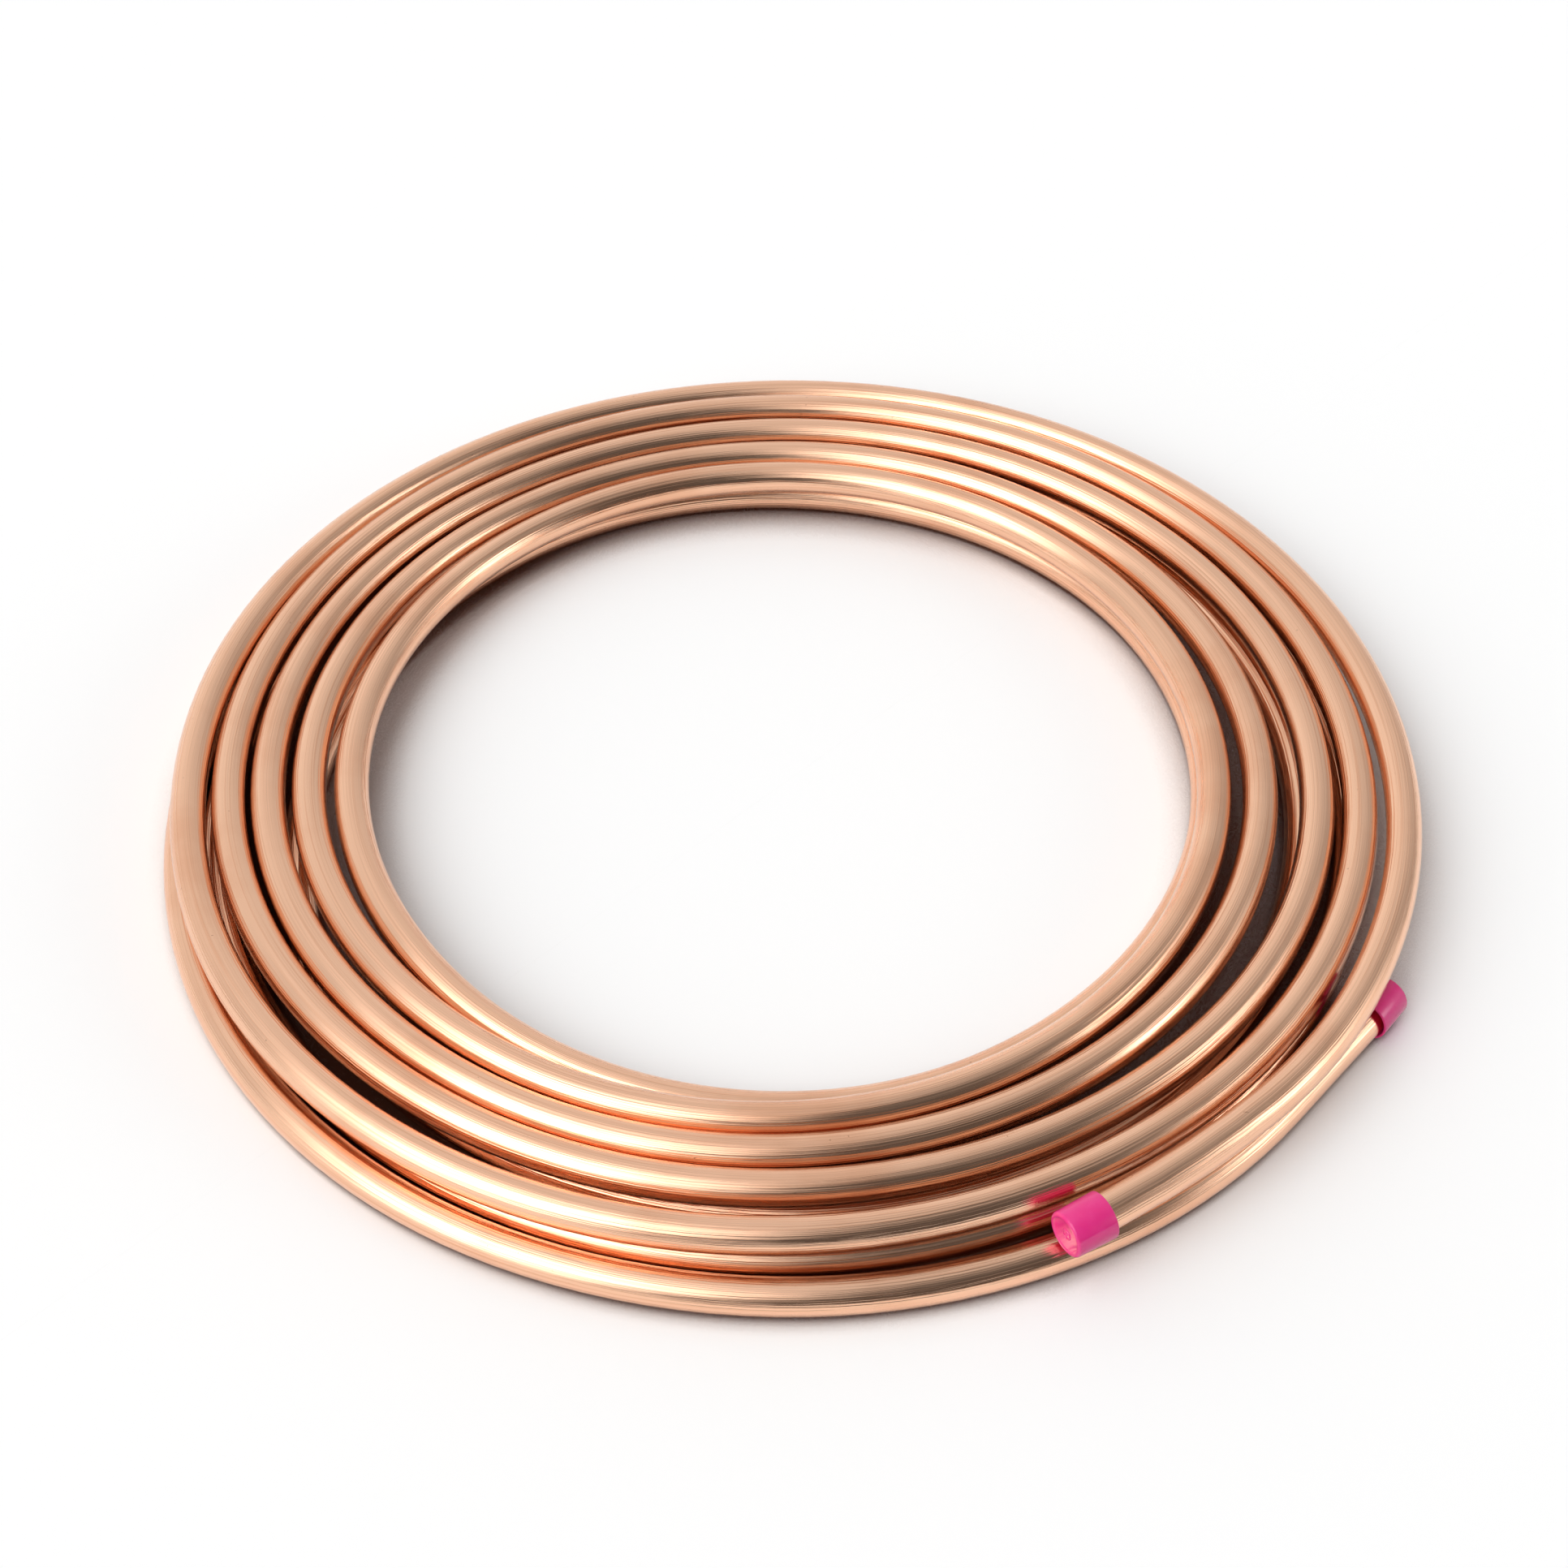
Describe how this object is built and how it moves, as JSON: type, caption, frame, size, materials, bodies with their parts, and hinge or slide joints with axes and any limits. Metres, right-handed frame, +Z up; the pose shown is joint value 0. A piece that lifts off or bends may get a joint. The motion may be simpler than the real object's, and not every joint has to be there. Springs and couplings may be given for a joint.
{
  "type": "copper tube coil",
  "caption": "Flat two-layer coil of soft copper tube with an open eye and a push-on plastic cap on each free end.",
  "frame": {"origin": "on the axis of the coil's eye, at the level of the floor that the coil lies on", "axes": "+Z up along the axis of the eye; +X to the coil's right and +Y to its back, as seen from its front, where the upper free end is"},
  "size_m": [0.6901, 0.6967, 0.0452],
  "materials": {
    "copper": "bright drawn copper, lightly handled",
    "cap_plastic": "glossy magenta moulded plastic"
  },
  "bodies": {
    "root": {"copper_tube": "copper", "upper_end_cap": "cap_plastic", "lower_end_cap": "cap_plastic"}
  },
  "joints": []
}
